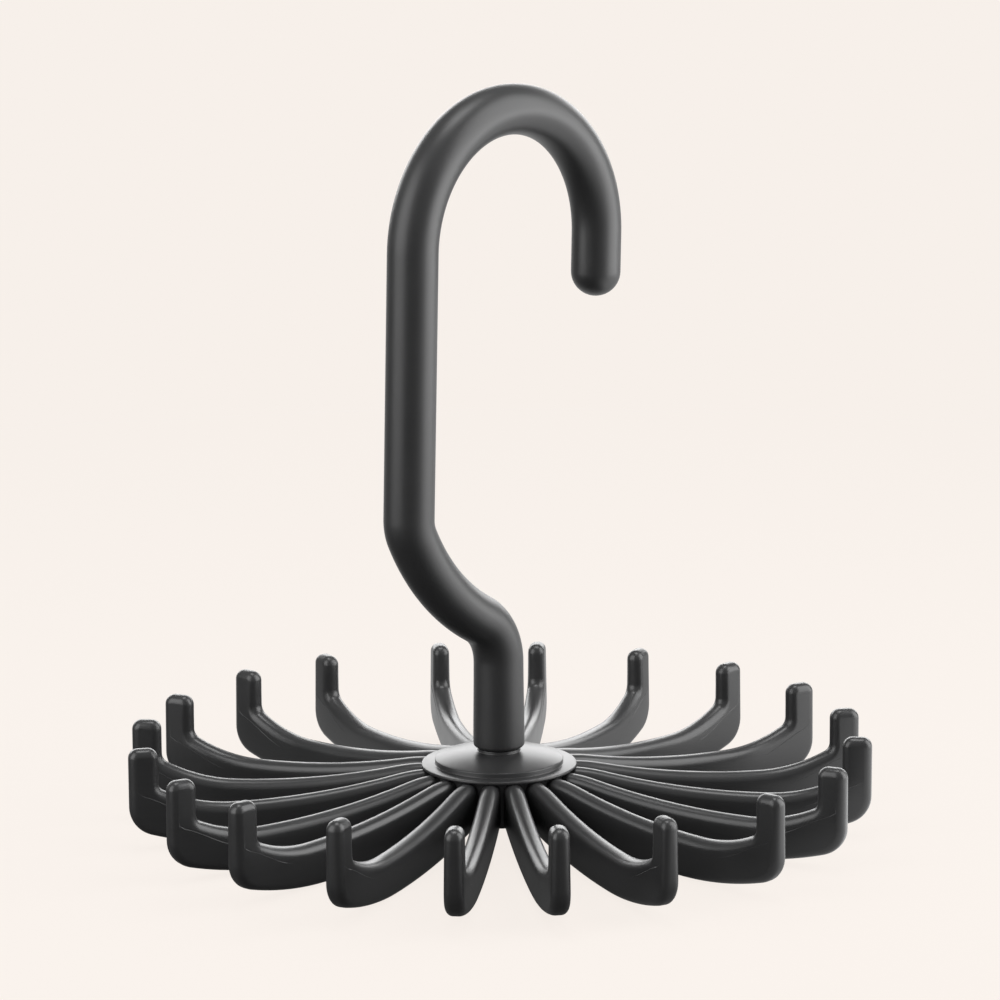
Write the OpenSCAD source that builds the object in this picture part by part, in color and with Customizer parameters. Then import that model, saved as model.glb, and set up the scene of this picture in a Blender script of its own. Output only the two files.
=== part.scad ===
// Rotating tie hanger: a bent rod hook that snaps into a wheel of upturned arms, on which it swivels.
// The origin is on the swivel axis, on the plane that the arms stand on. +Z is up, and the hook lies
// in the XZ plane with its tip on the +X side.

/* [Hook] */
// Diameter of the rod that the hook is bent from
rod_d = 9.7; // [7:0.1:12]
// Radius of the top bend, to the middle of the rod
hook_r = 25.6; // [20:0.1:32]
// Angle by which the top bend turns past level on the tip side
tip_turn = 1.8; // [0:0.1:10]
// Length of the straight tip, without its round end
tip_len = 7.6; // [2:0.1:20]
// Length of the straight leg
leg_len = 50.4; // [30:0.1:80]
// Lean of the leg, outwards towards its lower end
leg_lean = 1.9; // [0:0.1:5]
// Radius of the bend at the lower end of the leg
knee_r = 7.9; // [6:0.1:15]
// Slope, from upright, where the knee runs into the long sweep
sweep_angle = 26.4; // [15:0.1:35]
// Radius of the long sweep back to the swivel axis
sweep_r = 44; // [30:0.5:60]
// Slope, from upright, where the sweep runs into the neck
neck_angle = 60.5; // [45:0.5:75]
// Length of the straight between the sweep and the neck
neck_len = 0.4; // [0.2:0.1:6]
// Radius of the neck bend
neck_r = 10.8; // [8:0.1:16]
// Length of the upright stem, from its foot to the neck bend
stem_len = 17; // [10:0.5:30]
// Diameter of the stem at its foot
foot_d = 10; // [8:0.1:12]
// Rounding of the edge of the foot
foot_round = 0.8; // [0.3:0.1:1.5]

/* [Swivel] */
// Diameter of the spigot below the stem
spigot_d = 7; // [5:0.1:8]
// Running clearance round the spigot, on the radius
spigot_play = 0.08; // [0.02:0.01:0.1]
// Play of the hook along the swivel axis, at each end of the bore
end_play = 0.2; // [0.1:0.05:0.4]
// How far the barbs reach out past the spigot
barb_reach = 0.6; // [0.3:0.1:1]
// Height of the barbed head, from its shoulder to its end
barb_h = 3.6; // [2:0.1:5]
// Width of the slot that lets the barbs spring inwards
slot_w = 1.6; // [1.2:0.1:2.4]
// Length of the slot above the shoulder of the barbs
slot_up = 4.5; // [2:0.1:6]

/* [Hub] */
// Distance from the swivel axis to the flat that each arm grows from
root_r = 14; // [12.5:0.1:18]
// Radius by which the rim ring reaches out past those flats
rim_reach = 1.1; // [0.5:0.1:2]
// Thickness of the rim ring
rim_t = 0.6; // [0.4:0.1:1.2]
// Radius of the raised disc
disc_r = 12.5; // [10:0.1:12.5]
// Height of the raised disc's edge above the rim ring
disc_h = 1; // [0.4:0.05:2]
// Rise of the disc's crown from its edge to the middle
crown_h = 1.6; // [0.5:0.1:3]
// Radius of the small collar that the stem's foot turns on
collar_r = 4.2; // [4.2:0.1:5]
// Height of the collar above the middle of the disc
collar_h = 0.4; // [0.2:0.1:1]
// Length of the bore that holds the spigot
bore_len = 8; // [5:0.1:10]
// Wall round the bore
bore_wall = 3.6; // [2:0.1:4]
// Wall of the skirt
skirt_wall = 2.2; // [1.5:0.1:3]
// Thickness of the hub's top plate under the rim ring
plate_t = 1.7; // [1:0.1:3]
// Room round the barbed head, in the recess under the bore
head_room = 0.9; // [0.6:0.1:1.5]

/* [Wheel of arms] */
// Number of arms
arm_count = 20; // [12:1:20]
// Angle from the plane of the hook at which the first arm stands
wheel_turn = 0.7; // [0:0.1:17]
// Radius of the wheel, to the outer faces of the prongs
wheel_r = 72.5; // [66:0.5:90]
// Height of the prong tops above the plane that the arms stand on
prong_top = 19.8; // [17:0.1:26]
// Thickness of an arm at the top of its prong
arm_t = 3.25; // [2.6:0.05:4]
// Draft of an arm's sides
draft = 0.9; // [0:0.1:1.5]
// Depth of the prong, from its outer face to its inner face
prong_w = 5.7; // [4.5:0.1:8]
// Radius of the prong's two top corners
prong_round = 1.9; // [1.8:0.1:2.2]
// Height of the lowest point of the seat that a tie lies on
seat_h = 8.15; // [6:0.05:10]
// Distance of that point from the swivel axis
seat_at = 52.4; // [46:0.2:56]
// Radius of the seat's curve, from that point to the hub
seat_r = 148.5; // [120:0.5:180]
// Radius of the seat's curve, from that point out to the prong
rise_r = 30.4; // [24:0.2:40]
// Radius of the fillet between the seat and the prong
fillet_r = 1.8; // [1:0.1:4]
// Distance of the lowest point of the underside from the swivel axis
belly_at = 49; // [40:0.5:54]
// Radius of the underside's curve, from that point outwards
belly_r = 68.3; // [60:0.1:80]
// Radius of the underside's curve, from that point to the hub
inner_r = 150; // [120:1:200]
// Radius of the lower outer corner
heel_r = 5.8; // [3:0.1:7]
// Rounding of the arm's long edges
edge_round = 1.2; // [0.8:0.1:1.3]

/* [Hidden] */
// Some arms of the pictured hanger are sprung sideways: the arm's number, counted from 1, and the angle
// at its root by which it leans off its own place, counter-clockwise seen from above
sprung = [[4, -1.5], [5, 1.8], [7, 1.8], [10, 2.5], [14, -3.1], [15, -4.8], [16, -1.8], [17, -1.1]];
// The middle of an arm's crest stays flat by this half width, so that its two roundings don't meet
crest_flat = 0.15;
// An arm's crest passes under the rim ring with this gap
rim_gap = 0.05;
// The rim ring's underside is as high as the seat's curve at this distance out from the root
rim_lead = 3;
// The bent rod starts this far inside the turned stem
rod_sink = 0.5;
// The top of the stem stands proud of the bent rod by this hair
rod_hair = 0.02;
// Sides of the bent rod
rod_sides = 28;
// Steps in each rounded edge
round_steps = 3;
facets = 96;

hook_color = [0.20, 0.20, 0.205];
wheel_color = [0.17, 0.17, 0.175];

function arm_name(i) = str("arm_", i < 10 ? "0" : "", i);

// Heights on the swivel axis, from the wheel up
root_bottom = inner_r - sqrt(pow(inner_r, 2) - pow(belly_at - root_r, 2));
rim_bottom = seat_h + seat_r - sqrt(pow(seat_r, 2) - pow(seat_at - root_r - rim_lead, 2));
rim_top = rim_bottom + rim_t;
disc_edge = rim_top + disc_h;
collar_top = disc_edge + crown_h + collar_h;
bore_bottom = collar_top - bore_len;
foot_z = collar_top + end_play;
barb_shoulder = bore_bottom - end_play;
stem_top = foot_z + stem_len;
rim_r = root_r + rim_reach;
bore_r = spigot_d / 2 + spigot_play;
barb_r = spigot_d / 2 + barb_reach;

function polar(a, r) = [r * cos(a), r * sin(a)];
function arc(c, r, a0, a1, n) = [for (k = [0:n]) c + polar(a0 + (a1 - a0) * k / n, r)];

// Centres of the hook's bends in the XZ plane, worked out upwards from the stem
neck_c = [-neck_r, stem_top];
neck_end = neck_c + polar(neck_angle, neck_r);
sweep_start = neck_end + neck_len * [-sin(neck_angle), cos(neck_angle)];
sweep_c = sweep_start + polar(neck_angle, sweep_r);
knee_start = sweep_c - polar(sweep_angle, sweep_r);
knee_c = knee_start + polar(sweep_angle, knee_r);
leg_start = knee_c - polar(-leg_lean, knee_r);
leg_end = leg_start + leg_len * [sin(leg_lean), cos(leg_lean)];
top_c = leg_end + polar(-leg_lean, hook_r);
tip_start = top_c + polar(-tip_turn, hook_r);

// Stations along the rod's middle line, each as [x, z, lean of the rod towards +X, radius]
function bend(c, r, a0, a1, n) =
    [for (k = [0:n]) let (a = a0 + (a1 - a0) * k / n) [c[0] + r * cos(a), c[1] + r * sin(a), a, rod_d / 2]];
function dome(p, lean, n) = [
    for (k = [0:n]) let (a = 90 * k / n, r = rod_d / 2)
        [p[0] + r * sin(a) * sin(lean), p[1] + r * sin(a) * cos(lean), -lean, max(r * cos(a), 0.1)]
];
tip_end = tip_start - tip_len * [sin(tip_turn), cos(tip_turn)];
rod_stations = concat(
    [[0, stem_top - rod_sink, 0, rod_d / 2]],
    bend(neck_c, neck_r, 0, neck_angle, 9),
    bend(sweep_c, -sweep_r, neck_angle, sweep_angle, 6),
    [for (s = bend(knee_c, -knee_r, sweep_angle, -leg_lean, 5)) if (s[2] < sweep_angle) s],
    bend(top_c, -hook_r, -leg_lean, -180 - tip_turn, 22),
    dome(tip_end, 180 + tip_turn, 5)
);

// The bent rod, swept through its stations as one skin
module bent_rod() {
    n = rod_sides;
    rings = len(rod_stations);
    points = [
        for (s = rod_stations, i = [0:n - 1])
            let (u = s[3] * cos(360 * i / n), v = s[3] * sin(360 * i / n))
            [s[0] + u * cos(s[2]), v, s[1] + u * sin(s[2])]
    ];
    sides = [
        for (j = [0:rings - 2], i = [0:n - 1])
            let (a = j * n + i, b = j * n + (i + 1) % n)
            each [[a, b + n, b], [a, a + n, b + n]]
    ];
    polyhedron(points, concat([[for (i = [0:n - 1]) i]], sides, [[for (i = [n - 1:-1:0]) (rings - 1) * n + i]]));
}

// The stem widens a little to its foot, and the spigot and its barbed head go on below
module stem() {
    half = foot_d / 2;
    head_end = barb_shoulder - barb_h;
    rotate_extrude($fn = facets) polygon(concat(
        [[0, head_end], [spigot_d / 2 - barb_reach, head_end], [barb_r, barb_shoulder - barb_h / 3]],
        [[barb_r, barb_shoulder], [spigot_d / 2, barb_shoulder], [spigot_d / 2, foot_z]],
        arc([half - foot_round, foot_z + 2 * foot_round], foot_round, -90, 0, 4),
        [[rod_d / 2 + rod_hair, stem_top], [0, stem_top]]
    ));
}

module slot() {
    bottom = barb_shoulder - barb_h - 1;
    top = barb_shoulder + slot_up;
    translate([-slot_w / 2, -barb_r - 1, bottom]) cube([slot_w, 2 * barb_r + 2, top - bottom - slot_w / 2]);
    translate([0, 0, top - slot_w / 2]) rotate([90, 0, 0])
        cylinder(d = slot_w, h = 2 * barb_r + 2, center = true, $fn = 32);
}

module hook() {
    color(hook_color) {
        difference() {
            stem();
            slot();
        }
        bent_rod();
    }
}

// The crowned disc, the collar and the rim ring, seen as one profile from the axis outwards
module hub_top() {
    edge = 0.25;
    dome_r = (pow(disc_r, 2) + pow(crown_h, 2)) / (2 * crown_h);
    dome_a0 = acos((disc_r - edge) / dome_r);
    dome_a1 = acos(collar_r / dome_r);
    dome_c = [0, disc_edge + crown_h - dome_r];
    rotate_extrude($fn = facets) polygon(concat(
        [[0, rim_bottom], [rim_r - edge / 2, rim_bottom]],
        arc([rim_r - edge, rim_top - edge], edge, 0, 90, 3),
        [[disc_r, rim_top], [disc_r, disc_edge - edge]],
        arc(dome_c, dome_r, dome_a0, dome_a1, 8),
        [[collar_r, collar_top], [0, collar_top]]
    ));
}

// One flat for each arm
module skirt() {
    corner_r = root_r / cos(180 / arm_count);
    turn = wheel_turn + 180 / arm_count;
    translate([0, 0, root_bottom]) linear_extrude(rim_bottom - root_bottom)
        polygon([for (i = [0:arm_count - 1]) polar(turn + 360 * i / arm_count, corner_r)]);
}

// The ring left open under the hub, between the skirt and the wall of the bore
module under_ring() {
    depth = rim_top - plate_t - root_bottom;
    translate([0, 0, root_bottom - 1]) difference() {
        cylinder(r = root_r - skirt_wall, h = depth + 1, $fn = facets);
        cylinder(r = bore_r + bore_wall, h = depth + 1, $fn = facets);
    }
}

module hub() {
    color(wheel_color) difference() {
        union() {
            hub_top();
            skirt();
        }
        under_ring();
        translate([0, 0, root_bottom]) cylinder(r = bore_r, h = collar_top, $fn = facets);
        translate([0, 0, root_bottom - 1])
            cylinder(r = barb_r + head_room, h = bore_bottom - root_bottom + 1, $fn = facets);
    }
}

// The side view of an arm as [distance from the axis, height], drawn inset by e: it runs from the root
// along the underside, round the heel, up the prong, down its inner face and back along the seat
function tangent_angle(from, to) = atan2(to[1] - from[1], to[0] - from[0]);
belly_c = [belly_at, belly_r];
heel_x = wheel_r - heel_r;
heel_c = [heel_x, belly_r - sqrt(pow(belly_r - heel_r, 2) - pow(heel_x - belly_at, 2))];
seat_c = [seat_at, seat_h + seat_r];
rise_c = [seat_at, seat_h + rise_r];
inner_x = wheel_r - prong_w;
fillet_x = inner_x - fillet_r;
fillet_c = [fillet_x, rise_c[1] - sqrt(pow(rise_r - fillet_r, 2) - pow(fillet_x - seat_at, 2))];
crest_z = rim_bottom - rim_gap;
crest_x = seat_at - sqrt(pow(seat_r, 2) - pow(seat_c[1] - crest_z, 2));

heel_a = tangent_angle(belly_c, heel_c);
fillet_a = tangent_angle(rise_c, fillet_c);
crest_a = -90 - asin((seat_at - crest_x) / seat_r);
root_a = -90 - asin((belly_at - root_r) / inner_r);

function underside(e) = concat(
    [[root_r, root_bottom + e]],
    [for (k = [1:5]) [belly_at, inner_r] + polar(root_a - (root_a + 90) * k / 5, inner_r - e)],
    [for (k = [1:4]) belly_c + polar(-90 + (heel_a + 90) * k / 4, belly_r - e)],
    [for (k = [1:4]) heel_c + polar(heel_a - heel_a * k / 4, heel_r - e)]
);
function prong(e) = concat(
    arc([wheel_r - prong_round, prong_top - prong_round], prong_round - e, 0, 90, 3),
    arc([inner_x + prong_round, prong_top - prong_round], prong_round - e, 90, 180, 3)
);
function seat(e) = concat(
    [for (k = [0:4]) fillet_c + polar(fillet_a * k / 4, fillet_r + e)],
    [for (k = [1:4]) rise_c + polar(fillet_a - (fillet_a + 90) * k / 4, rise_r + e)],
    [for (k = [1:4]) seat_c + polar(-90 + (crest_a + 90) * k / 4, seat_r + e)],
    [[root_r, crest_z - e]]
);

// Half the thickness of an arm at height z
function half_t(z) = arm_t / 2 + (prong_top - z) * tan(draft);

// Layers across the arm, as [side, inset share, rise share] of its rounded edges
layer_angles = [for (k = [0:round_steps]) 90 * k / round_steps];
layers = concat(
    [for (k = [round_steps:-1:0]) [-1, 1 - cos(layer_angles[k]), sin(layer_angles[k])]],
    [for (k = [0:round_steps]) [1, 1 - cos(layer_angles[k]), sin(layer_angles[k])]]
);

function sprung_by(i) = let (s = [for (s = sprung) if (s[0] == i) s[1]]) len(s) > 0 ? s[0] : 0;

// A solid made of the side view's layers, its edges rounded and its crest round across the whole arm,
// and sprung sideways by an angle at its root
module arm_solid(lean) {
    small = [for (p = concat(underside(0), prong(0))) edge_round];
    full = [for (p = seat(0)) half_t(p[1]) - crest_flat];
    rounds = concat(small, full);
    n = len(rounds);
    points = [
        for (layer = layers, i = [0:n - 1])
            let (
                e = rounds[i] * layer[1],
                p = concat(underside(e), prong(e), seat(e))[i],
                y = layer[0] * (half_t(p[1]) - rounds[i] * (1 - layer[2]))
            )
            [p[0], y + tan(lean) * (p[0] - root_r), p[1]]
    ];
    last = len(layers) - 1;
    sides = [
        for (j = [0:last - 1], i = [0:n - 1])
            let (a = j * n + i, b = j * n + (i + 1) % n)
            each [[a, b, b + n], [a, b + n, a + n]]
    ];
    // Each flat side is closed by a strip between the lower and the upper half of the outline
    strip = [for (k = [0:n / 2 - 2]) each [[k, k + 1, n - 1 - k], [k + 1, n - 2 - k, n - 1 - k]]];
    near = [for (t = strip) [t[2], t[1], t[0]]];
    far = [for (t = strip) [for (v = t) last * n + v]];
    polyhedron(points, concat(near, sides, far));
}

module arm(i) {
    color(wheel_color) rotate([0, 0, wheel_turn + 360 * (i - 1) / arm_count]) arm_solid(sprung_by(i));
}

hook();
hub();
for (i = [1:arm_count]) arm(i);
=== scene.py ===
"""Rotating tie hanger: a bent rod hook that swivels in a wheel of twenty upturned arms.

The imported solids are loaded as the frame. The operators below dress them with finer meshes in moulded
plastic, and set up a pale floor, soft light and a camera.
"""

import math

import bmesh
import bpy
from mathutils import Matrix, Vector


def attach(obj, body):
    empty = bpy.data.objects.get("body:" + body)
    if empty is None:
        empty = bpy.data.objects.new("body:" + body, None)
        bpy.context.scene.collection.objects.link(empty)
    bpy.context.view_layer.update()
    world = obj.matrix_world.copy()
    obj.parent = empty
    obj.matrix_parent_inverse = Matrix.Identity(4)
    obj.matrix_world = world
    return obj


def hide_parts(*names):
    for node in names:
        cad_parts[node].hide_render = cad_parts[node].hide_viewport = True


bl_info = {
    "name": "Rotating tie hanger",
    "version": (1, 0, 0),
    "blender": (4, 5, 0),
    "location": "View3D > Sidebar > Tie hanger",
    "description": "Dresses the packed tie hanger in smooth moulded plastic, with a plain stage",
    "category": "Object",
}

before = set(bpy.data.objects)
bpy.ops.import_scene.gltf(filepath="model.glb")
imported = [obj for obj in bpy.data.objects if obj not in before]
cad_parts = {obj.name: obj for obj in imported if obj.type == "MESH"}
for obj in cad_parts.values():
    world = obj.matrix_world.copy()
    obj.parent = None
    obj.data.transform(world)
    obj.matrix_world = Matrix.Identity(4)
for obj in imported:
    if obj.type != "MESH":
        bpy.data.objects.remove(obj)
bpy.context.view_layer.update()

MM = 0.001
HOOK_BODY = "hanging_hook"
WHEEL_BODY = "arm_wheel"

MERGE = 1e-7  # points nearer than this, in metres, become one
SHARP = math.radians(50)  # edges that turn more than this stay crisp
ROD_SIDES = 72
FACETS_PER_ARM = 8  # of the hub's turned surfaces
CREST_FLAT = 0.15 * MM  # half of the flat left on top of the seat's crest
ROUND_STEPS = 6  # layers in the rounding of an arm's edges
PRONG_CORNER_POINTS = 10  # points of each chain on the prong's top corner
FLOOR_RADIUS = 6.0
FLOOR_GAP = 0.2 * MM  # below the arms, so that no faces lie in one plane
PRONG_POINTS = 22  # points of the lower chain on the heel and the prong

# The parting line on an arm's sides: distances from the axis, and heights
PARTING_BEND = 57 * MM  # where it starts to rise
PARTING_FROM = 58 * MM  # where its step starts
PARTING_FADE = 7 * MM  # over this length the step grows to its full size
PARTING_LOW = 5.7  # its height in millimetres up to the bend
PARTING_RISE = 5.4  # how much higher it is at the outer face


# Node trees


class Wire:
    """An output socket. Python's operators on it add Math nodes, and so do their reflected forms."""

    def __init__(self, sketch, socket):
        self.sketch = sketch
        self.socket = socket

    def _maths(self, operation, *values):
        sockets = dict(enumerate(values))
        return self.sketch.node(self.sketch.maths, {"operation": operation}, sockets)

    def __add__(self, other):
        return self._maths("ADD", self, other)

    def __radd__(self, other):
        return self._maths("ADD", other, self)

    def __sub__(self, other):
        return self._maths("SUBTRACT", self, other)

    def __rsub__(self, other):
        return self._maths("SUBTRACT", other, self)

    def __mul__(self, other):
        return self._maths("MULTIPLY", self, other)

    def __rmul__(self, other):
        return self._maths("MULTIPLY", other, self)

    def __truediv__(self, other):
        return self._maths("DIVIDE", self, other)

    def clamped(self):
        return self.sketch.node("ShaderNodeClamp", {}, {0: self})

    def power(self, exponent):
        return self._maths("POWER", self, exponent)

    def arc_from(self, other):
        """The angle of the point (other, self) round the origin."""
        return self._maths("ARCTAN2", self, other)

    def sine(self):
        return self._maths("SINE", self)

    def cosine(self):
        return self._maths("COSINE", self)

    def tangent(self):
        return self._maths("TANGENT", self)

    def output(self, name):
        """Another output of the node that this wire comes from."""
        return Wire(self.sketch, self.socket.node.outputs[name])


class Sketch:
    """Adds nodes to one tree. Settings are set before sockets, because they change which sockets there are."""

    maths = "ShaderNodeMath"

    def __init__(self, tree):
        self.tree = tree

    def node(self, kind, settings, sockets, out=0):
        made = self.tree.nodes.new(kind)
        for key, value in settings.items():
            setattr(made, key, value)
        for key, value in sockets.items():
            if isinstance(value, Wire):
                self.tree.links.new(value.socket, made.inputs[key])
            else:
                made.inputs[key].default_value = value
        return Wire(self, made.outputs[out]) if made.outputs else None


def fresh_material(name):
    """A material with an empty node tree, and the sketch that fills it."""
    material = bpy.data.materials.new(name)
    material.use_nodes = True
    material.node_tree.nodes.clear()
    return material, Sketch(material.node_tree)


def grey(value):
    return (value, value, value, 1.0)


def moulded_plastic(name, dark, light, rough, grain, flow):
    """Dark moulded plastic: cloudy colour and gloss, fine grain and faint flow marks out from the hub."""
    material, sketch = fresh_material(name)
    place = sketch.node("ShaderNodeTexCoord", {}, {}).output("Object")
    cloud = sketch.node(
        "ShaderNodeTexNoise", {}, {"Vector": place, "Scale": 110.0, "Detail": 3.0, "Roughness": 0.55}
    )
    parts = sketch.node("ShaderNodeSeparateXYZ", {}, {0: place})
    across, ahead, up = parts, parts.output("Y"), parts.output("Z")
    out = (across * across + ahead * ahead).power(0.5)
    turn = ahead.arc_from(across)
    run = sketch.node("ShaderNodeCombineXYZ", {}, {0: turn * 9.0, 1: out * 14.0, 2: up * 420.0})
    marks = sketch.node(
        "ShaderNodeTexNoise", {}, {"Vector": run, "Scale": 3.0, "Detail": 4.0, "Roughness": 0.6}
    )
    skin = sketch.node(
        "ShaderNodeTexNoise", {}, {"Vector": place, "Scale": 5200.0, "Detail": 2.0, "Roughness": 0.5}
    )
    tint = sketch.node(
        "ShaderNodeMix",
        {"data_type": "RGBA"},
        {"Factor": (cloud * 0.7 + marks * 0.5 - 0.1).clamped(), "A": dark, "B": light},
        out=2,
    )
    gloss = (cloud - 0.5) * 0.10 + (marks - 0.5) * flow + rough
    height = skin * grain + marks * (0.6 * flow)
    normal = sketch.node(
        "ShaderNodeBump", {}, {"Strength": 0.35, "Distance": 0.00005, "Height": height}
    )
    surface = sketch.node(
        "ShaderNodeBsdfPrincipled",
        {},
        {"Base Color": tint, "Roughness": gloss, "IOR": 1.5, "Normal": normal},
    )
    sketch.node("ShaderNodeOutputMaterial", {}, {"Surface": surface})
    return material


# Shapes


def polar(angle, reach):
    """A point at that angle, in degrees, and reach."""
    return Vector((reach * math.cos(math.radians(angle)), reach * math.sin(math.radians(angle))))


def bend(centre, reach, first, last, steps):
    """Points on an arc from the first angle to the last."""
    return [centre + polar(first + (last - first) * k / steps, reach) for k in range(steps + 1)]


def angle_of(vector):
    return math.degrees(math.atan2(vector.y, vector.x))


def softened(corners, steps=4):
    """A closed outline of (r, z, rounding) corners, with each corner rounded by an arc."""
    outline = []
    count = len(corners)
    for k, (r, z, rounding) in enumerate(corners):
        here = Vector((r, z))
        back = Vector(corners[k - 1][:2]) - here
        ahead = Vector(corners[(k + 1) % count][:2]) - here
        half = back.angle(ahead) / 2
        if rounding <= 0 or half > math.radians(89):
            outline.append(here)
            continue
        reach = rounding / math.tan(half)
        centre = here + (back.normalized() + ahead.normalized()).normalized() * rounding / math.sin(half)
        start = here + back.normalized() * reach - centre
        turn = (here + ahead.normalized() * reach - centre).angle_signed(start)
        for j in range(steps + 1):
            a = turn * j / steps
            turned_x = start.x * math.cos(a) - start.y * math.sin(a)
            turned_y = start.x * math.sin(a) + start.y * math.cos(a)
            outline.append(centre + Vector((turned_x, turned_y)))
    return outline


def turned(name, outline, steps, reach_at=None):
    """A mesh turned from a closed outline of (r, z) points.

    reach_at(point, angle) may change a point's radius.
    """
    shape = bmesh.new()
    rings = []
    for j in range(steps):
        angle = 360 * j / steps
        ring = []
        for point in outline:
            r = reach_at(point, angle) if reach_at else point.x
            flat = polar(angle, r)
            ring.append(shape.verts.new((flat.x, flat.y, point.y)))
        rings.append(ring)
    count = len(outline)
    for j in range(steps):
        near, far = rings[j], rings[(j + 1) % steps]
        for k in range(count):
            nxt = (k + 1) % count
            shape.faces.new((near[k], far[k], far[nxt], near[nxt]))
    bmesh.ops.remove_doubles(shape, verts=shape.verts, dist=MERGE)
    bmesh.ops.recalc_face_normals(shape, faces=shape.faces)
    return finished_mesh(name, shape)


def finished_mesh(name, shape):
    mesh = bpy.data.meshes.new(name)
    shape.to_mesh(mesh)
    shape.free()
    mesh.shade_smooth()
    return mesh


def placed(name, mesh, material=None):
    piece = bpy.data.objects.new(name, mesh)
    bpy.context.scene.collection.objects.link(piece)
    if material:
        mesh.materials.clear()
        mesh.materials.append(material)
    return piece


def settled(piece):
    """The piece's modifiers are worked into a plain mesh and removed."""
    bpy.context.view_layer.update()
    graph = bpy.context.evaluated_depsgraph_get()
    mesh = bpy.data.meshes.new_from_object(
        piece.evaluated_get(graph), preserve_all_data_layers=True, depsgraph=graph
    )
    piece.modifiers.clear()
    old = piece.data
    piece.data = mesh
    bpy.data.meshes.remove(old)
    mesh.name = piece.name
    return piece


def dress(piece, body, nodes):
    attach(piece, body)
    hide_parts(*nodes)


# Geometry trees


def geometry_tree(name, inputs):
    """A geometry tree with one geometry input and output, and named inputs: (name, socket type, default)."""
    tree = bpy.data.node_groups.new(name, "GeometryNodeTree")
    tree.interface.new_socket("Geometry", in_out="INPUT", socket_type="NodeSocketGeometry")
    for label, kind, default in inputs:
        socket = tree.interface.new_socket(label, in_out="INPUT", socket_type=kind)
        if default is not None:
            socket.default_value = default
    tree.interface.new_socket("Geometry", in_out="OUTPUT", socket_type="NodeSocketGeometry")
    sketch = Sketch(tree)
    return tree, sketch, sketch.node("NodeGroupInput", {}, {})


def grown(piece, tree, values):
    """Runs a geometry tree on a piece with these values, and keeps the result as a plain mesh."""
    modifier = piece.modifiers.new(tree.name, "NODES")
    modifier.node_group = tree
    names = {item.name: item.identifier for item in tree.interface.items_tree if item.in_out == "INPUT"}
    for label, value in values.items():
        modifier[names[label]] = value
    return settled(piece)


def rod_tree():
    """Sweeps a round section along a path of points that carry the attribute 'reach', the rod's radius."""
    tree, sketch, given = geometry_tree(
        "Bent rod",
        [("Sides", "NodeSocketInt", 64), ("Plastic", "NodeSocketMaterial", None)],
    )
    path = sketch.node("GeometryNodeMeshToCurve", {}, {"Mesh": given.output("Geometry")})
    reach = sketch.node("GeometryNodeInputNamedAttribute", {"data_type": "FLOAT"}, {"Name": "reach"})
    ring = sketch.node(
        "GeometryNodeCurvePrimitiveCircle",
        {"mode": "RADIUS"},
        {"Resolution": given.output("Sides"), "Radius": 1.0},
    )
    rod = sketch.node(
        "GeometryNodeCurveToMesh", {}, {"Curve": path, "Profile Curve": ring, "Scale": reach, "Fill Caps": True}
    )
    rod = sketch.node("GeometryNodeSetShadeSmooth", {}, {"Geometry": rod, "Shade Smooth": True})
    rod = sketch.node("GeometryNodeRealizeInstances", {}, {"Geometry": rod})
    rod = sketch.node("GeometryNodeSetMaterial", {}, {"Geometry": rod, "Material": given.output("Plastic")})
    sketch.node("NodeGroupOutput", {}, {"Geometry": rod})
    return tree


def wheel_tree():
    """Sets one arm on each point of a wheel. The points carry 'turn' and 'sprung', both angles."""
    tree, sketch, given = geometry_tree(
        "Wheel of arms",
        [
            ("Arm", "NodeSocketObject", None),
            ("Root", "NodeSocketFloat", 0.014),
            ("Plastic", "NodeSocketMaterial", None),
        ],
    )
    turn = sketch.node("GeometryNodeInputNamedAttribute", {"data_type": "FLOAT"}, {"Name": "turn"})
    sprung = sketch.node("GeometryNodeInputNamedAttribute", {"data_type": "FLOAT"}, {"Name": "sprung"})
    arm = sketch.node("GeometryNodeObjectInfo", {}, {"Object": given.output("Arm"), "As Instance": True})
    facing = sketch.node("ShaderNodeCombineXYZ", {}, {2: turn})
    wheel = sketch.node(
        "GeometryNodeInstanceOnPoints",
        {},
        {"Points": given.output("Geometry"), "Instance": arm.output("Geometry"), "Rotation": facing},
    )
    wheel = sketch.node("GeometryNodeRealizeInstances", {}, {"Geometry": wheel})
    spot = sketch.node("GeometryNodeInputPosition", {}, {})
    parts = sketch.node("ShaderNodeSeparateXYZ", {}, {0: spot})
    out = parts * turn.cosine() + parts.output("Y") * turn.sine()
    aside = (out - given.output("Root")) * sprung.tangent()
    shift = sketch.node("ShaderNodeCombineXYZ", {}, {0: 0.0 - aside * turn.sine(), 1: aside * turn.cosine()})
    wheel = sketch.node("GeometryNodeSetPosition", {}, {"Geometry": wheel, "Offset": shift})
    wheel = sketch.node("GeometryNodeSetMaterial", {}, {"Geometry": wheel, "Material": given.output("Plastic")})
    sketch.node("NodeGroupOutput", {}, {"Geometry": wheel})
    return tree


# Sizes


def length(name, about, millimetres):
    return bpy.props.FloatProperty(
        name=name, description=about, default=millimetres * MM, unit="LENGTH", subtype="DISTANCE", precision=5
    )


def angle(name, about, degrees):
    return bpy.props.FloatProperty(
        name=name, description=about, default=math.radians(degrees), unit="ROTATION", subtype="ANGLE"
    )


def colour(name, about, shade):
    return bpy.props.FloatVectorProperty(
        name=name, description=about, default=shade, size=4, min=0.0, max=1.0, subtype="COLOR"
    )


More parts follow.
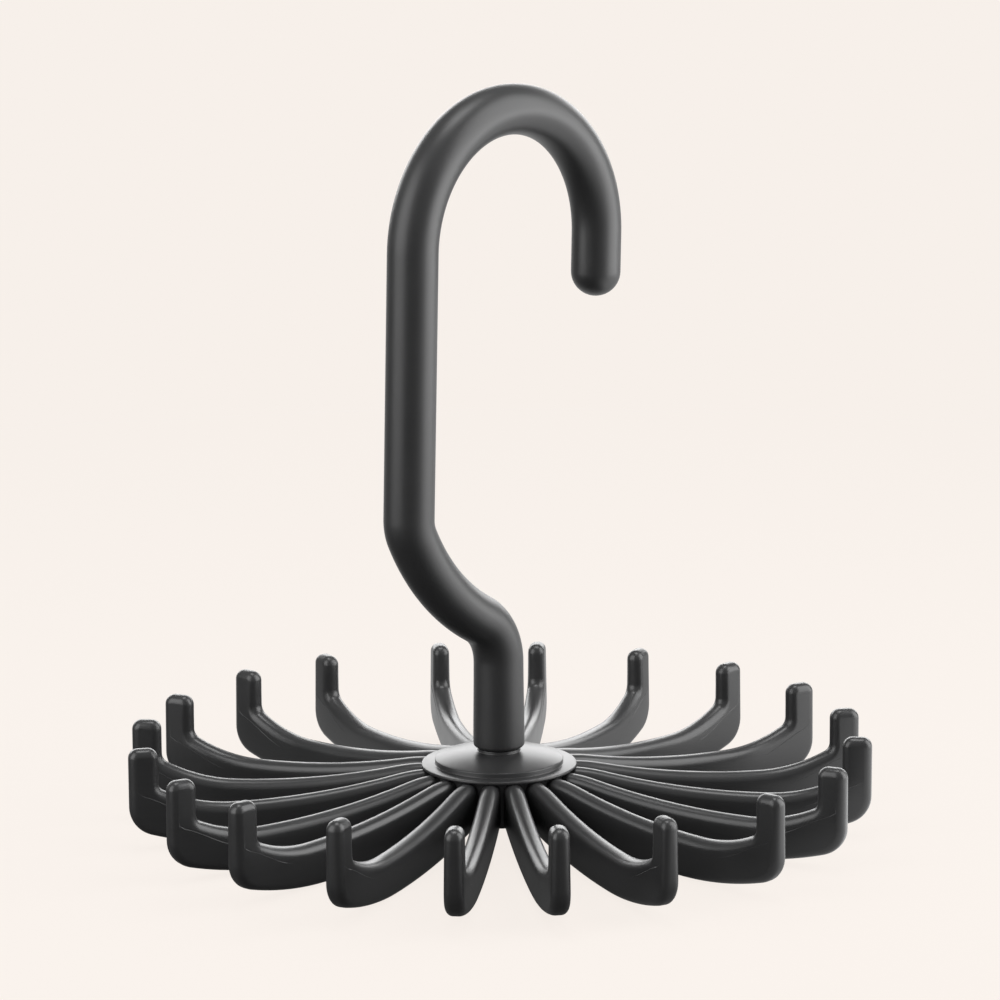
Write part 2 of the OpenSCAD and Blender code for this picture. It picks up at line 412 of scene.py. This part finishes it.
class HookSizes(bpy.types.PropertyGroup):
    rod: length("Rod", "Diameter of the bent rod", 9.7)
    top: length("Top bend", "Radius of the top bend, to the rod's middle", 25.6)
    tip_turn: angle("Tip turn", "How far the top bend turns past level", 1.8)
    tip: length("Tip", "Length of the straight tip", 7.6)
    leg: length("Leg", "Length of the straight leg", 50.4)
    leg_lean: angle("Leg lean", "Lean of the leg", 1.9)
    knee: length("Knee", "Radius of the bend below the leg", 7.9)
    sweep_slope: angle("Sweep slope", "Slope where the knee runs into the sweep", 26.4)
    sweep: length("Sweep", "Radius of the long sweep", 44)
    neck_slope: angle("Neck slope", "Slope where the sweep runs into the neck", 60.5)
    neck_straight: length("Neck straight", "Straight between the sweep and the neck", 0.4)
    neck: length("Neck", "Radius of the neck bend", 10.8)
    stem: length("Stem", "Length of the upright stem", 17)
    foot: length("Foot", "Diameter of the stem at its foot", 10)
    foot_round: length("Foot rounding", "Rounding of the foot's edge", 0.8)
    foot_height: length("Foot height", "Height of the foot above the plane that the arms stand on", 16.22)
    spigot: length("Spigot", "Diameter of the spigot", 7)
    barb: length("Barb", "How far the barbs reach past the spigot", 0.6)
    head: length("Head", "Height of the barbed head", 3.6)
    shoulder: length("Shoulder", "Height of the barbs' shoulder", 7.83)
    slot: length("Slot", "Width of the slot in the spigot", 1.6)
    slot_rise: length("Slot rise", "Length of the slot above the shoulder", 4.5)
    shade: colour("Shade", "Main colour of the hook's plastic", (0.018, 0.018, 0.0185, 1.0))
    bloom: colour("Bloom", "Colour of the paler clouds in it", (0.026, 0.026, 0.0265, 1.0))


class HubSizes(bpy.types.PropertyGroup):
    root: length("Root", "Distance from the axis to the flat behind each arm", 14)
    rim: length("Rim", "Radius of the rim ring", 15.1)
    rim_bottom: length("Rim underside", "Height of the rim ring's underside", 12.43)
    rim_thick: length("Rim thickness", "Thickness of the rim ring", 0.6)
    disc: length("Disc", "Radius of the raised disc", 12.5)
    disc_rise: length("Disc rise", "Height of the disc's edge above the ring", 1.0)
    crown: length("Crown", "Rise of the disc to its middle", 1.6)
    collar: length("Collar", "Radius of the collar under the hook's foot", 4.2)
    collar_rise: length("Collar rise", "Height of the collar above the disc's middle", 0.4)
    bore: length("Bore", "Radius of the bore", 3.58)
    bore_length: length("Bore length", "Length of the bore", 8)
    bore_wall: length("Bore wall", "Wall round the bore", 3.6)
    recess: length("Recess", "Radius of the recess round the barbs", 5.0)
    skirt_wall: length("Skirt wall", "Wall of the skirt", 2.2)
    plate: length("Plate", "Thickness of the top plate below the ring", 1.7)
    bottom: length("Bottom", "Height of the hub's lower end", 3.53)


class ArmSizes(bpy.types.PropertyGroup):
    count: bpy.props.IntProperty(name="Arms", description="Number of arms", default=20, min=12, max=20)
    turn: angle("Wheel turn", "Angle at which the first arm stands", 0.7)
    wheel: length("Wheel", "Radius to the outer faces of the prongs", 72.5)
    prong_top: length("Prong top", "Height of the prong tops", 19.8)
    thick: length("Thickness", "Thickness of an arm at its prong's top", 3.4)
    draft: angle("Draft", "Draft of the arm's sides", 0.9)
    prong: length("Prong", "Depth of the prong", 5.7)
    prong_round: length("Prong rounding", "Radius of the prong's top corners", 1.9)
    seat_low: length("Seat height", "Height of the seat's lowest point", 8.15)
    seat_at: length("Seat place", "Distance of that point from the axis", 52.4)
    seat: length("Seat", "Radius of the seat's curve, inwards from there", 148.5)
    rise: length("Seat's rise", "Radius of the seat's curve, outwards from there", 30.4)
    fillet: length("Fillet", "Radius between the seat and the prong", 1.8)
    belly_at: length("Belly place", "Distance of the underside's lowest point from the axis", 49)
    belly: length("Belly", "Radius of the underside, outwards from there", 69.6)
    inner: length("Inner underside", "Radius of the underside, inwards from there", 175)
    heel: length("Heel", "Radius of the lower outer corner", 5.6)
    edge: length("Edge", "Rounding of the prong's edges", 1.5)
    under: length("Under edge", "Rounding of the underside's edges", 1.4)
    parting: length("Parting step", "Step at the mould's parting line", 0.06)
    shade: colour("Shade", "Main colour of the wheel's plastic", (0.019, 0.019, 0.0194, 1.0))
    bloom: colour("Bloom", "Colour of the paler clouds in it", (0.028, 0.028, 0.0285, 1.0))


class StageSizes(bpy.types.PropertyGroup):
    pale: colour("Pale", "Colour of the floor and the backdrop", (0.930, 0.871, 0.823, 1.0))
    camera_place: bpy.props.FloatVectorProperty(
        name="Camera place",
        description="Where the camera stands",
        default=(-0.6185, -0.5841, 0.2463),
        subtype="TRANSLATION",
    )
    pan: angle("Pan", "Turn of the camera about the upright axis", -46.669)
    tilt: angle("Tilt", "How far the camera looks down", 12.017)
    roll: angle("Roll", "Turn of the camera about its own view", -0.301)
    lens: bpy.props.FloatProperty(name="Lens", description="Focal length", default=162.601, unit="CAMERA")


# Sprung arms: number, counted from 1, and the angle in degrees by which each leans off its place
SPRUNG = {4: -1.5, 5: 1.8, 7: 1.8, 10: 2.5, 14: -3.1, 15: -4.8, 16: -1.8, 17: -1.1}


def rod_path(sizes):
    """Points along the rod's middle, as (x, z, radius), from the foot to the tip. In the XZ plane."""
    half = sizes.rod / 2
    foot = sizes.foot / 2
    edge = sizes.foot_round
    stem_top = sizes.foot_height + sizes.stem
    lean = math.degrees(sizes.leg_lean)
    tip_turn = math.degrees(sizes.tip_turn)
    neck_slope = math.degrees(sizes.neck_slope)
    sweep_slope = math.degrees(sizes.sweep_slope)
    rows = []
    for k in range(7):
        a = math.radians(90 * k / 6)
        rows.append((0, sizes.foot_height + edge * (1 - math.cos(a)), foot - edge + edge * math.sin(a)))
    for k in range(1, 13):
        share = k / 12
        ease = share * share * (3 - 2 * share)
        rows.append((0, sizes.foot_height + edge + (sizes.stem - edge) * share, foot + (half - foot) * ease))
    neck_centre = Vector((-sizes.neck, stem_top))
    neck_end = neck_centre + polar(neck_slope, sizes.neck)
    along = Vector((-math.sin(sizes.neck_slope), math.cos(sizes.neck_slope)))
    sweep_centre = neck_end + along * sizes.neck_straight + polar(neck_slope, sizes.sweep)
    knee_start = sweep_centre - polar(sweep_slope, sizes.sweep)
    knee_centre = knee_start + polar(sweep_slope, sizes.knee)
    leg_start = knee_centre - polar(-lean, sizes.knee)
    leg_end = leg_start + Vector((math.sin(sizes.leg_lean), math.cos(sizes.leg_lean))) * sizes.leg
    top_centre = leg_end + polar(-lean, sizes.top)
    tip_start = top_centre + polar(-tip_turn, sizes.top)
    down = -Vector((math.sin(sizes.tip_turn), math.cos(sizes.tip_turn)))
    tip_end = tip_start + down * sizes.tip
    middle = bend(neck_centre, sizes.neck, 0, neck_slope, 24)[1:]
    middle += bend(sweep_centre, -sizes.sweep, neck_slope, sweep_slope, 20)
    middle += bend(knee_centre, -sizes.knee, sweep_slope, -lean, 14)[1:]
    middle += [leg_start.lerp(leg_end, k / 12) for k in range(1, 12)]
    middle += bend(top_centre, -sizes.top, -lean, -180 - tip_turn, 72)
    middle += [tip_start.lerp(tip_end, k / 4) for k in range(1, 5)]
    rows += [(p.x, p.y, half) for p in middle]
    for k in range(1, 13):
        a = math.radians(88.5 * k / 12)
        p = tip_end + down * half * math.sin(a)
        rows.append((p.x, p.y, half * math.cos(a)))
    return rows


def spigot_mesh(sizes):
    """The spigot and its barbed head, before the slot is cut."""
    half = sizes.spigot / 2
    barb = half + sizes.barb
    end = sizes.shoulder - sizes.head
    small = 0.15 * MM
    top = sizes.foot_height + 0.5 * MM
    outline = softened(
        [
            (0.01 * MM, end, 0),
            (half - sizes.barb, end, 2 * small),
            (barb, sizes.shoulder - sizes.head / 3, small),
            (barb, sizes.shoulder, small),
            (half, sizes.shoulder, small),
            (half, top, 0),
            (0.01 * MM, top, 0),
        ]
    )
    return turned("spigot", outline, 64)


def slot_mesh(sizes):
    """The cutter for the slot: a bar with a round top."""
    shape = bmesh.new()
    half = sizes.slot / 2
    reach = sizes.spigot / 2 + sizes.barb + 1 * MM
    low = sizes.shoulder - sizes.head - 1 * MM
    high = sizes.shoulder + sizes.slot_rise - half
    outline = [Vector((-half, low)), Vector((half, low))] + bend(Vector((0, high)), half, 0, 180, 12)
    near = [shape.verts.new((p.x, -reach, p.y)) for p in outline]
    far = [shape.verts.new((p.x, reach, p.y)) for p in outline]
    shape.faces.new(near)
    shape.faces.new(list(reversed(far)))
    for k in range(len(outline)):
        nxt = (k + 1) % len(outline)
        shape.faces.new((near[k], far[k], far[nxt], near[nxt]))
    bmesh.ops.recalc_face_normals(shape, faces=shape.faces)
    return finished_mesh("slot", shape)


def hub_outline(sizes):
    """Half section of the hub, as a closed outline of rounded corners."""
    rim_top = sizes.rim_bottom + sizes.rim_thick
    disc_edge = rim_top + sizes.disc_rise
    collar_top = disc_edge + sizes.crown + sizes.collar_rise
    dome = (sizes.disc**2 + sizes.crown**2) / (2 * sizes.crown)
    dome_low = disc_edge + sizes.crown - dome
    slopes = [sizes.collar + (sizes.disc - sizes.collar) * k / 16 for k in range(17)]
    dome_points = [(r, dome_low + math.sqrt(dome**2 - r**2), 0) for r in slopes[1:-1]]
    wall = sizes.bore + sizes.bore_wall
    skirt = sizes.root - sizes.skirt_wall
    ring_top = rim_top - sizes.plate
    small, tiny = 0.22 * MM, 0.12 * MM
    bore_bottom = collar_top - sizes.bore_length
    return softened(
        [(sizes.bore, bore_bottom, tiny), (sizes.bore, collar_top, tiny), (sizes.collar, collar_top, tiny)]
        + [(sizes.collar, dome_low + math.sqrt(dome**2 - sizes.collar**2), tiny)]
        + dome_points
        + [(sizes.disc, disc_edge, small), (sizes.disc, rim_top, tiny), (sizes.rim, rim_top, small)]
        + [(sizes.rim, sizes.rim_bottom, small), (sizes.root, sizes.rim_bottom, tiny)]
        + [(sizes.root, sizes.bottom, small), (skirt, sizes.bottom, small), (skirt, ring_top, 2 * small)]
        + [(wall, ring_top, 2 * small), (wall, sizes.bottom, small)]
        + [(sizes.recess, sizes.bottom, small), (sizes.recess, bore_bottom, tiny)]
    )


def arm_chains(sizes, root_bottom, crest_height, inset):
    """The arm's side view, inset by a length.

    It is a lower and an upper chain, both from the root to the prong's top.
    """
    heel_at = sizes.wheel - sizes.heel
    belly = Vector((sizes.belly_at, sizes.belly))
    heel_drop = math.sqrt((sizes.belly - sizes.heel) ** 2 - (heel_at - sizes.belly_at) ** 2)
    heel = Vector((heel_at, sizes.belly - heel_drop))
    seat = Vector((sizes.seat_at, sizes.seat_low + sizes.seat))
    rise = Vector((sizes.seat_at, sizes.seat_low + sizes.rise))
    inner_face = sizes.wheel - sizes.prong
    fillet_at = inner_face - sizes.fillet
    drop = math.sqrt((sizes.rise - sizes.fillet) ** 2 - (fillet_at - sizes.seat_at) ** 2)
    fillet = Vector((fillet_at, rise.y - drop))
    above = seat.y - crest_height
    ease = (((sizes.seat_at - sizes.root) ** 2) / (sizes.seat - above) - sizes.seat - above) / 2
    shoulder = Vector((sizes.root, crest_height - ease))
    heel_angle = angle_of(heel - belly)
    fillet_angle = angle_of(fillet - rise)
    shoulder_angle = angle_of(seat - shoulder)
    root_angle = -90 - math.degrees(math.asin((sizes.belly_at - sizes.root) / sizes.inner))
    corner = sizes.prong_round
    lower = [Vector((sizes.root, root_bottom + inset))]
    lower += bend(Vector((sizes.belly_at, sizes.inner)), sizes.inner - inset, root_angle, -90, 14)[1:]
    lower += bend(belly, sizes.belly - inset, -90, heel_angle, 12)[1:]
    lower += bend(heel, sizes.heel - inset, heel_angle, 0, 10)[1:]
    top = Vector((sizes.wheel - inset, sizes.prong_top - corner))
    lower += [lower[-1].lerp(top, k / 3) for k in (1, 2)]
    lower += bend(Vector((sizes.wheel - corner, top.y)), corner - inset, 0, 90, 9)
    upper = bend(shoulder, ease - inset, 90, shoulder_angle, 5)
    upper += bend(seat, sizes.seat + inset, shoulder_angle - 180, -90, 9)[1:]
    upper += bend(rise, sizes.rise + inset, -90, fillet_angle, 13)[1:]
    upper += bend(fillet, sizes.fillet + inset, fillet_angle, 0, 10)[1:]
    top = Vector((inner_face + inset, sizes.prong_top - corner))
    upper.append(upper[-1].lerp(top, 0.5))
    upper += bend(Vector((inner_face + corner, top.y)), corner - inset, 180, 90, 9)
    return lower, upper


class HANGER_OT_hook(bpy.types.Operator):
    """Sweeps the bent rod, turns its snap end and dresses them in the hook's plastic"""

    bl_idname = "hanger.hook"
    bl_label = "Hook"

    def execute(self, context):
        sizes = context.scene.hanger_hook
        shades = tuple(sizes.shade), tuple(sizes.bloom)
        plastic = moulded_plastic("hook plastic", *shades, rough=0.40, grain=0.25, flow=0.03)
        rows = rod_path(sizes)
        mesh = bpy.data.meshes.new("hook")
        mesh.from_pydata([(x, 0, z) for x, z, r in rows], [(k, k + 1) for k in range(len(rows) - 1)], [])
        mesh.attributes.new("reach", "FLOAT", "POINT").data.foreach_set("value", [r for x, z, r in rows])
        hook = grown(placed("hook_skin", mesh), rod_tree(), {"Sides": ROD_SIDES, "Plastic": plastic})
        spigot = placed("spigot", spigot_mesh(sizes), plastic)
        cutter = placed("slot", slot_mesh(sizes))
        cut = spigot.modifiers.new("slot", "BOOLEAN")
        cut.operation = "DIFFERENCE"
        cut.solver = "EXACT"
        cut.object = cutter
        settled(spigot)
        shape = bmesh.new()
        shape.from_mesh(hook.data)
        shape.from_mesh(spigot.data)
        bmesh.ops.remove_doubles(shape, verts=shape.verts, dist=MERGE)
        bmesh.ops.recalc_face_normals(shape, faces=shape.faces)
        hook.data = finished_mesh("hook_skin", shape)
        hook.data.materials.append(plastic)
        bpy.data.objects.remove(cutter)
        bpy.data.objects.remove(spigot)
        hook.data.set_sharp_from_angle(angle=SHARP)
        dress(hook, HOOK_BODY, ["hook"])
        return {"FINISHED"}


class HANGER_OT_hub(bpy.types.Operator):
    """Turns the hub from its half section, with one flat for each arm"""

    bl_idname = "hanger.hub"
    bl_label = "Hub"

    def execute(self, context):
        sizes, arms = context.scene.hanger_hub, context.scene.hanger_arms
        plastic = wheel_plastic(arms)
        pitch = 360 / arms.count
        first = math.degrees(arms.turn)
        near = 0.5 * MM

        def reach_at(point, angle):
            if abs(point.x - sizes.root) > near:
                return point.x
            off = (angle - first + pitch / 2) % pitch - pitch / 2
            return point.x / math.cos(math.radians(off))

        steps = FACETS_PER_ARM * arms.count
        hub = placed("hub_skin", turned("hub_skin", hub_outline(sizes), steps, reach_at), plastic)
        hub.data.set_sharp_from_angle(angle=SHARP)
        dress(hub, WHEEL_BODY, ["hub"])
        return {"FINISHED"}


def wheel_plastic(arms):
    """The hub and the arms share one plastic, made by whichever comes first."""
    found = bpy.data.materials.get("wheel plastic")
    shades = tuple(arms.shade), tuple(arms.bloom)
    return found or moulded_plastic("wheel plastic", *shades, rough=0.33, grain=0.08, flow=0.02)


def parting_height(sizes, reach):
    """Height of the mould's parting line on an arm's sides, at that distance from the axis."""
    share = min(max((reach - PARTING_BEND) / (sizes.wheel - PARTING_BEND), 0), 1)
    return (PARTING_LOW + PARTING_RISE * share * share * (3 - 2 * share)) * MM


def arm_mesh(sizes, root_bottom, crest_height):
    """One arm along +X: its side view in layers, inset towards each side so that its edges are rounded.

    The side faces carry the parting step, and their points are not shared with the faces at the root's cap and
    at the prong's top, so the mesh has open edges of no width there.
    """
    angles = [math.radians(90 * k / ROUND_STEPS) for k in range(ROUND_STEPS + 1)]
    layers = [(-1, a) for a in reversed(angles)] + [(1, a) for a in angles]

    def half_thick(z):
        return sizes.thick / 2 + (sizes.prong_top - z) * math.tan(sizes.draft)

    lower, upper = arm_chains(sizes, root_bottom, crest_height, 0)
    count = len(lower)
    if len(upper) != count:
        raise RuntimeError(f"the arm's chains have {count} and {len(upper)} points")
    corner_from = count - PRONG_CORNER_POINTS
    roundings = [sizes.under if k < count - PRONG_POINTS else sizes.edge for k in range(count)]
    for k in range(count):
        full = half_thick(upper[k].y) - CREST_FLAT
        roundings.append(full if k < corner_from else sizes.edge)
    shape = bmesh.new()
    rings = []
    for side, a in layers:
        ring = []
        for k in range(2 * count):
            inset = roundings[k] * (1 - math.cos(a))
            chains = arm_chains(sizes, root_bottom, crest_height, inset)
            p = chains[k // count][k % count]
            y = side * (half_thick(p.y) - roundings[k] * (1 - math.sin(a)))
            ring.append(shape.verts.new((p.x, y, p.y)))
        rings.append(ring)
    loop = list(range(count)) + list(range(2 * count - 1, count - 1, -1))
    for near, far in zip(rings, rings[1:]):
        for k in range(len(loop)):
            a, b = loop[k], loop[(k + 1) % len(loop)]
            shape.faces.new((near[a], near[b], far[b], far[a]))
    for side, ring in ((-1, rings[0]), (1, rings[-1])):
        columns = [parted_column(shape, sizes, ring[k], ring[count + k], side) for k in range(count)]
        for near, far in zip(columns, columns[1:]):
            for j in range(3):
                shape.faces.new((near[j], near[j + 1], far[j + 1], far[j]))
            for j in (1, 2):
                shape.edges.get((near[j], far[j])).smooth = False
    bmesh.ops.remove_doubles(shape, verts=shape.verts, dist=MERGE)
    bmesh.ops.recalc_face_normals(shape, faces=shape.faces)
    return finished_mesh("arm", shape)


def parted_column(shape, sizes, low, high, side):
    """The points up one side of an arm. Below the parting line the side stands out by a small step."""

    def above_line(share):
        point = low.co.lerp(high.co, share)
        return point.z - parting_height(sizes, point.x)

    length_up = max((high.co - low.co).length, sizes.parting)
    lowest = min(sizes.parting / length_up, 0.3)
    near, far = lowest, 1 - lowest
    crossed = above_line(near) < 0 < above_line(far)
    if crossed:
        for _ in range(20):
            middle = (near + far) / 2
            near, far = (middle, far) if above_line(middle) < 0 else (near, middle)
    half_step = 0.5 * lowest
    reach = low.co.lerp(high.co, near).x
    stands = sizes.parting * min(max((reach - PARTING_FROM) / PARTING_FADE, 0), 1) if crossed else 0
    below = low.co.lerp(high.co, near - half_step) + Vector((0, side * stands, 0))
    above = low.co.lerp(high.co, near + half_step)
    return [low, shape.verts.new(below), shape.verts.new(above), high]


class HANGER_OT_arms(bpy.types.Operator):
    """Makes one arm and sets it round the wheel, one piece for each arm"""

    bl_idname = "hanger.arms"
    bl_label = "Arms"

    def execute(self, context):
        sizes, hub = context.scene.hanger_arms, context.scene.hanger_hub
        plastic = wheel_plastic(sizes)
        crest_height = hub.rim_bottom - 0.05 * MM
        arm = placed("arm_blank", arm_mesh(ArmShape(sizes, hub.root), hub.bottom, crest_height), plastic)
        places = bpy.data.meshes.new("wheel_places")
        places.from_pydata([(0, 0, 0)] * sizes.count, [], [])
        turns = [sizes.turn + 2 * math.pi * k / sizes.count for k in range(sizes.count)]
        leans = [math.radians(SPRUNG.get(k + 1, 0)) for k in range(sizes.count)]
        places.attributes.new("turn", "FLOAT", "POINT").data.foreach_set("value", turns)
        places.attributes.new("sprung", "FLOAT", "POINT").data.foreach_set("value", leans)
        places.attributes.new("arm", "INT", "POINT").data.foreach_set("value", range(1, sizes.count + 1))
        wheel = placed("wheel_of_arms", places)
        grown(wheel, wheel_tree(), {"Arm": arm, "Root": hub.root, "Plastic": plastic})
        for number in range(1, sizes.count + 1):
            name = f"arm_{number:02d}"
            piece = placed(f"{name}_skin", self.one_arm(wheel.data, number), plastic)
            dress(piece, WHEEL_BODY, [name])
        bpy.data.objects.remove(wheel)
        bpy.data.objects.remove(arm)
        return {"FINISHED"}

    def one_arm(self, wheel, number):
        """The arm of that number, cut out of the wheel's mesh."""
        shape = bmesh.new()
        shape.from_mesh(wheel)
        layer = shape.verts.layers.int["arm"]
        others = [v for v in shape.verts if v[layer] != number]
        bmesh.ops.delete(shape, geom=others, context="VERTS")
        mesh = finished_mesh(f"arm_{number:02d}_skin", shape)
        if not mesh.polygons:
            raise RuntimeError(f"arm {number} has no faces")
        for label in ("turn", "sprung", "arm"):
            mesh.attributes.remove(mesh.attributes[label])
        return mesh


class ArmShape:
    """The arm's sizes as plain numbers, with the root radius of the hub, so that they read fast."""

    def __init__(self, sizes, root):
        for key in sizes.__annotations__:
            if key not in ("shade", "bloom"):
                setattr(self, key, getattr(sizes, key))
        self.root = root


class HANGER_OT_stage(bpy.types.Operator):
    """Lays a pale floor, hangs the soft lights and sets the camera"""

    bl_idname = "hanger.stage"
    bl_label = "Stage"

    def execute(self, context):
        sizes = context.scene.hanger_stage
        self.floor(tuple(sizes.pale))
        self.world(context.scene, tuple(sizes.pale))
        self.lamp("rear wall", (0.95, 0.90, 0.36), (0.0, 0.0, 0.02), (2.1, 0.50), 4.0)
        self.lamp("ceiling", (0.05, 0.05, 1.25), (0.0, 0.0, 0.0), (0.5, 0.5), 6.5)
        self.lamp("right side", (0.321, -0.383, 0.42), (0.0, 0.0, 0.42), (0.52, 0.84), 4.2)
        self.lamp("left side", (-0.531, 0.142, 0.38), (0.0, 0.0, 0.38), (0.5, 0.76), 3.1)
        self.camera(context.scene, sizes)
        context.scene.view_settings.view_transform = "Standard"
        return {"FINISHED"}

    def floor(self, pale):
        """A round floor, pale to the camera with a little real shadow.

        Gloss sees painted reflections on it: a dark grey sheet, a painted white glint behind the object and a
        brighter painted glint to its right. Bounce light sees it nearly black, which paints shade on the
        object's undersides.
        """
        material, sketch = fresh_material("pale floor")
        seen = sketch.node("ShaderNodeLightPath", {}, {})
        mirrored = (seen.output("Is Glossy Ray") + seen.output("Is Transmission Ray")).clamped()
        place = sketch.node("ShaderNodeTexCoord", {}, {}).output("Object")
        dust = sketch.node("ShaderNodeTexNoise", {}, {"Vector": place, "Scale": 260.0, "Detail": 3.0})
        parts = sketch.node("ShaderNodeSeparateXYZ", {}, {0: place})
        out = (parts * parts + parts.output("Y") * parts.output("Y")).power(0.5)
        never_zero = 0.001
        # Masks for the painted glints that glossy rays see on the floor: one behind the object, a brighter one
        # to its right
        behind = ((parts * 0.73 + parts.output("Y") * 0.68) / (out + never_zero)).clamped().power(2.5)
        painted_side_glint_mask = ((parts * 0.64 - parts.output("Y") * 0.77) / (out + never_zero)).clamped().power(3.0)
        painted_side_glint_mask = painted_side_glint_mask * ((out - 0.05) * 30.0).clamped()
        shadow_share = 0.06
        near = (1.3 - out * 3.0).clamped() * shadow_share
        # To bounce light the floor is nearly black (0.06), which paints shade on the object's undersides; only
        # camera rays see it pale
        paper = sketch.node(
            "ShaderNodeBsdfPrincipled",
            {},
            {
                "Base Color": sketch.node(
                    "ShaderNodeMix", {"data_type": "RGBA"}, {"Factor": seen, "A": grey(0.06), "B": pale}, out=2
                ),
                "Roughness": 0.85 + dust * 0.1,
                "Specular IOR Level": 0.1,
            },
        )
        glow = sketch.node("ShaderNodeEmission", {}, {"Color": pale, "Strength": 1.0})
        # Painted reflections, seen only by glossy rays: a white glint, a brighter white glint and a dark grey
        # sheet in place of the pale floor
        painted_rear_glint = sketch.node("ShaderNodeEmission", {}, {"Color": grey(1.0), "Strength": 1.0})
        painted_side_glint = sketch.node("ShaderNodeEmission", {}, {"Color": grey(1.0), "Strength": 2.2})
        dark = sketch.node("ShaderNodeEmission", {}, {"Color": grey(0.12), "Strength": 1.0})
        # The painted reflections mixed together: the dark grey sheet with the painted glints over it
        reflected = sketch.node("ShaderNodeMixShader", {}, {0: behind, 1: dark, 2: painted_rear_glint})
        reflected = sketch.node("ShaderNodeMixShader", {}, {0: painted_side_glint_mask, 1: reflected, 2: painted_side_glint})
        bare = sketch.node("ShaderNodeMixShader", {}, {0: seen * (1.0 - near), 1: paper, 2: glow})
        mixed = sketch.node("ShaderNodeMixShader", {}, {0: mirrored, 1: bare, 2: reflected})
        sketch.node("ShaderNodeOutputMaterial", {}, {"Surface": mixed})
        shape = bmesh.new()
        bmesh.ops.create_circle(shape, cap_ends=True, segments=96, radius=FLOOR_RADIUS)
        bmesh.ops.translate(shape, verts=shape.verts, vec=(0, 0, -FLOOR_GAP))
        floor = placed("floor", finished_mesh("floor", shape), material)

    def world(self, scene, pale):
        """The backdrop is pale to the camera, and a dim grey room to everything else."""
        world = bpy.data.worlds.new("pale room")
        world.use_nodes = True
        world.node_tree.nodes.clear()
        sketch = Sketch(world.node_tree)
        seen = sketch.node("ShaderNodeLightPath", {}, {})
        room = sketch.node("ShaderNodeBackground", {}, {"Color": grey(1.0), "Strength": 0.35})
        backdrop = sketch.node("ShaderNodeBackground", {}, {"Color": pale, "Strength": 1.0})
        mixed = sketch.node("ShaderNodeMixShader", {}, {0: seen, 1: room, 2: backdrop})
        sketch.node("ShaderNodeOutputWorld", {}, {"Surface": mixed})
        scene.world = world

    def lamp(self, name, place, aim, size, level):
        """A soft box of that size at a place, aimed at a point. Level is the brightness of its face."""
        lamp = bpy.data.lights.new(name, "AREA")
        lamp.shape = "RECTANGLE"
        lamp.size, lamp.size_y = size
        lamp.energy = level * math.pi * size[0] * size[1]
        piece = bpy.data.objects.new(name, lamp)
        bpy.context.scene.collection.objects.link(piece)
        towards = Vector(aim) - Vector(place)
        piece.matrix_world = Matrix.Translation(place) @ towards.to_track_quat("-Z", "Y").to_matrix().to_4x4()
        piece.visible_camera = False

    def camera(self, scene, sizes):
        lens = bpy.data.cameras.new("camera")
        lens.lens = sizes.lens
        lens.sensor_width = 36
        lens.clip_start = 0.01
        lens.clip_end = 50
        piece = bpy.data.objects.new("camera", lens)
        scene.collection.objects.link(piece)
        turn = Matrix.Rotation(sizes.pan, 4, "Z") @ Matrix.Rotation(math.pi / 2 - sizes.tilt, 4, "X")
        piece.matrix_world = Matrix.Translation(sizes.camera_place) @ turn @ Matrix.Rotation(sizes.roll, 4, "Z")
        scene.camera = piece


class HANGER_PT_panel(bpy.types.Panel):
    """Lists the hanger's pieces and their sizes"""

    bl_idname = "HANGER_PT_panel"
    bl_label = "Tie hanger"
    bl_space_type = "VIEW_3D"
    bl_region_type = "UI"
    bl_category = "Tie hanger"

    def draw(self, context):
        for operator, group in STEPS:
            box = self.layout.box()
            box.operator(operator.bl_idname)
            sizes = getattr(context.scene, group)
            for key in sizes.__annotations__:
                box.prop(sizes, key)


GROUPS = {
    "hanger_hook": HookSizes,
    "hanger_hub": HubSizes,
    "hanger_arms": ArmSizes,
    "hanger_stage": StageSizes,
}
STEPS = (
    (HANGER_OT_hook, "hanger_hook"),
    (HANGER_OT_hub, "hanger_hub"),
    (HANGER_OT_arms, "hanger_arms"),
    (HANGER_OT_stage, "hanger_stage"),
)
CLASSES = tuple(GROUPS.values()) + tuple(step[0] for step in STEPS) + (HANGER_PT_panel,)


def register():
    for item in CLASSES:
        bpy.utils.register_class(item)
    for name, group in GROUPS.items():
        setattr(bpy.types.Scene, name, bpy.props.PointerProperty(type=group))


def unregister():
    for name in GROUPS:
        delattr(bpy.types.Scene, name)
    for item in reversed(CLASSES):
        bpy.utils.unregister_class(item)


def main():
    register()
    for operator, group in STEPS:
        family, name = operator.bl_idname.split(".")
        getattr(getattr(bpy.ops, family), name)()


if __name__ == "__main__":
    main()
